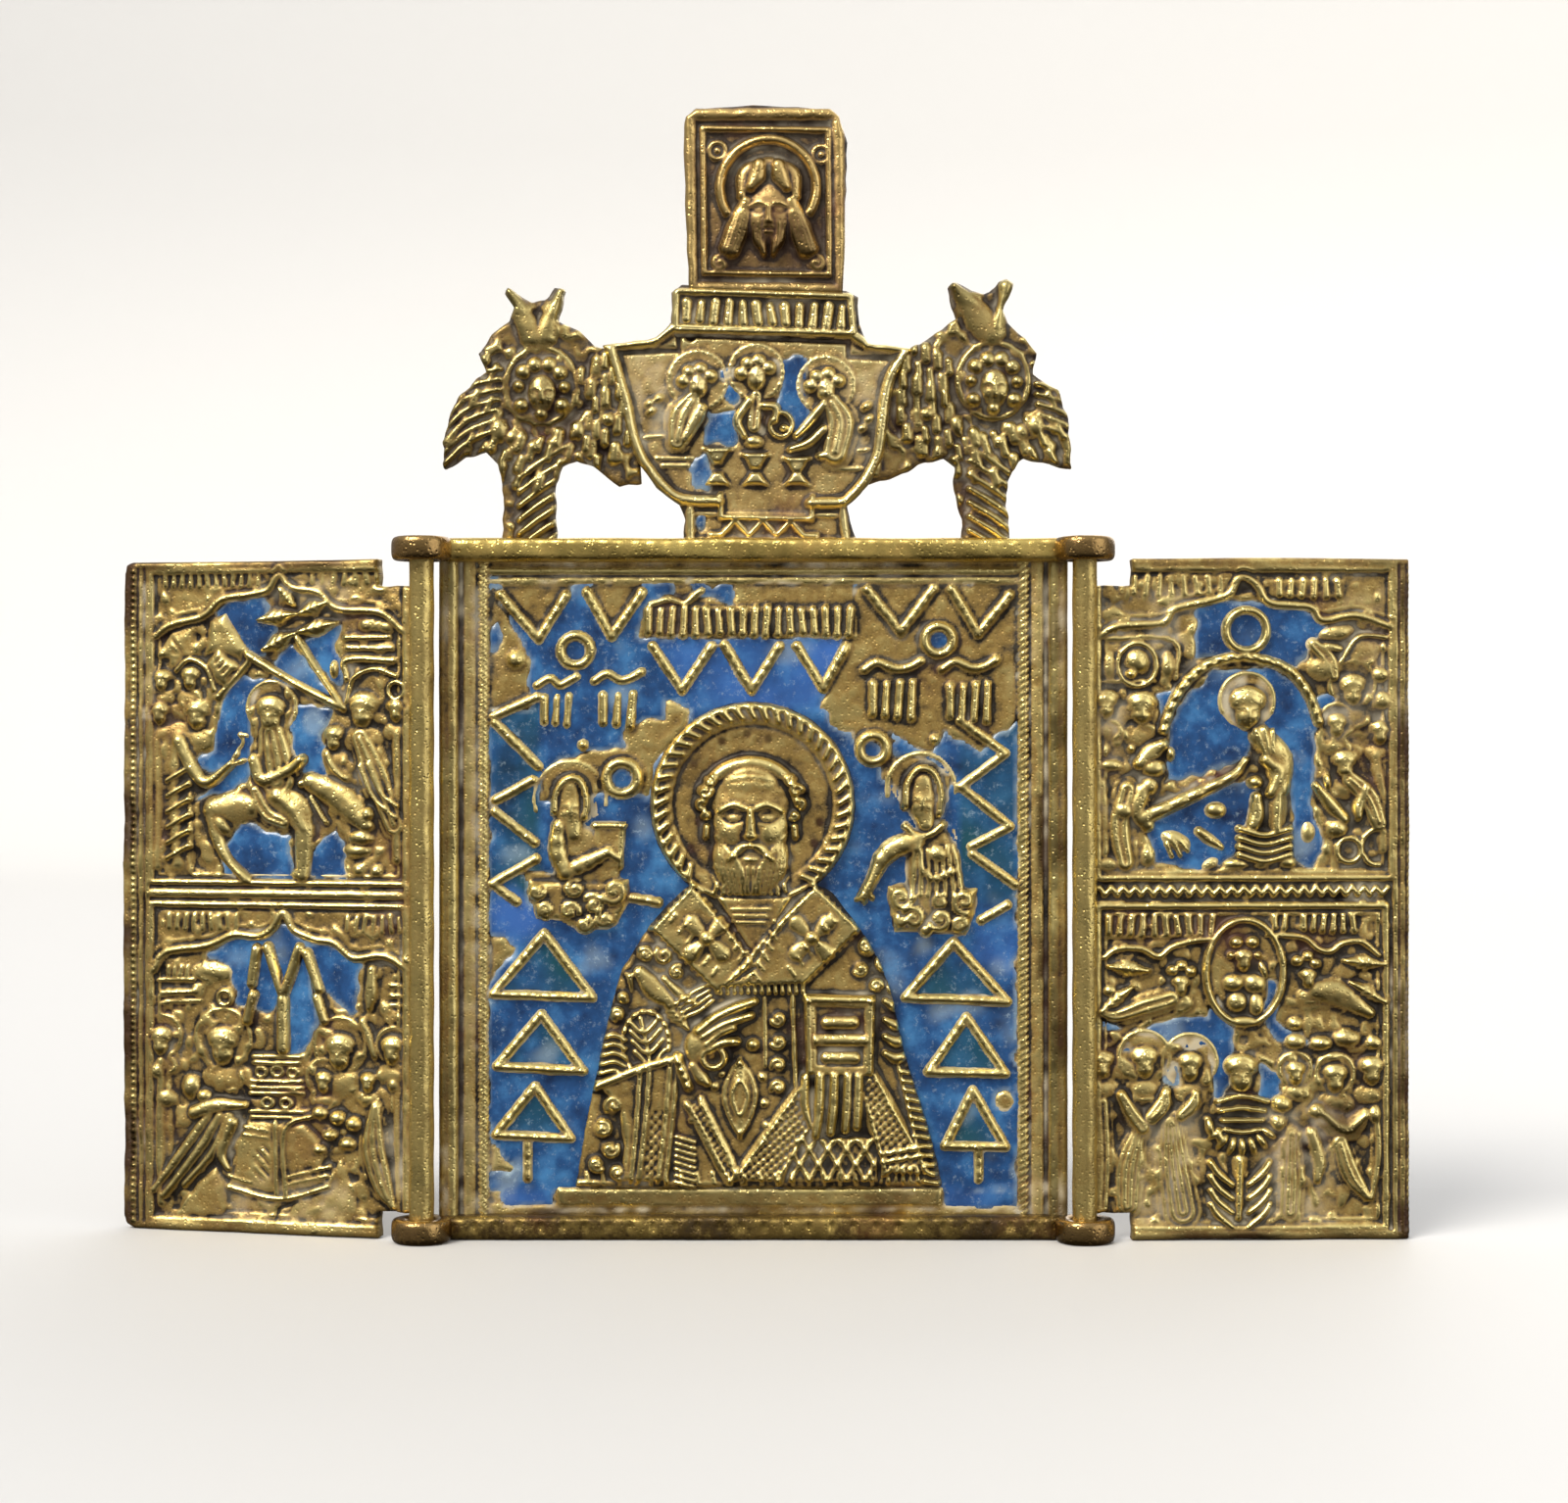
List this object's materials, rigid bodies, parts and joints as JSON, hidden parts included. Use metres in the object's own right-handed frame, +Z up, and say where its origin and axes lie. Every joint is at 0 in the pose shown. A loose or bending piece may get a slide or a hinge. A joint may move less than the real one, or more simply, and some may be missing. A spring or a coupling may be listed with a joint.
{
  "type": "folding triptych icon",
  "caption": "Folding brass icon: a relief centre leaf with a pierced crest and two hinged wings that close over it.",
  "frame": {"origin": "on the floor, at the middle of the flat underside of the centre leaf's bottom ledge", "axes": "+Z up, +X to the viewer's right as the icon is looked at, -Y towards the viewer"},
  "size_m": [0.1404, 0.0139, 0.1226],
  "materials": {
    "cast_brass": "worn cast brass with dark patina in the hollows",
    "blue_enamel": "old blue enamel, slightly pitted, fused in the hollows"
  },
  "bodies": {
    "centre": {"centre_leaf": "cast_brass"},
    "left": {"left_wing": "cast_brass"},
    "right": {"right_wing": "cast_brass"}
  },
  "joints": [
    {"name": "left_hinge", "type": "hinge", "parent": "centre", "child": "left", "pos_m": [-0.0355, -0.0025, 0], "axis": [0, 0, 1], "range_deg": [-16, 194]},
    {"name": "right_hinge", "type": "hinge", "parent": "centre", "child": "right", "pos_m": [0.0355, -0.0025, 0], "axis": [0, 0, -1], "range_deg": [-28, 182]}
  ]
}
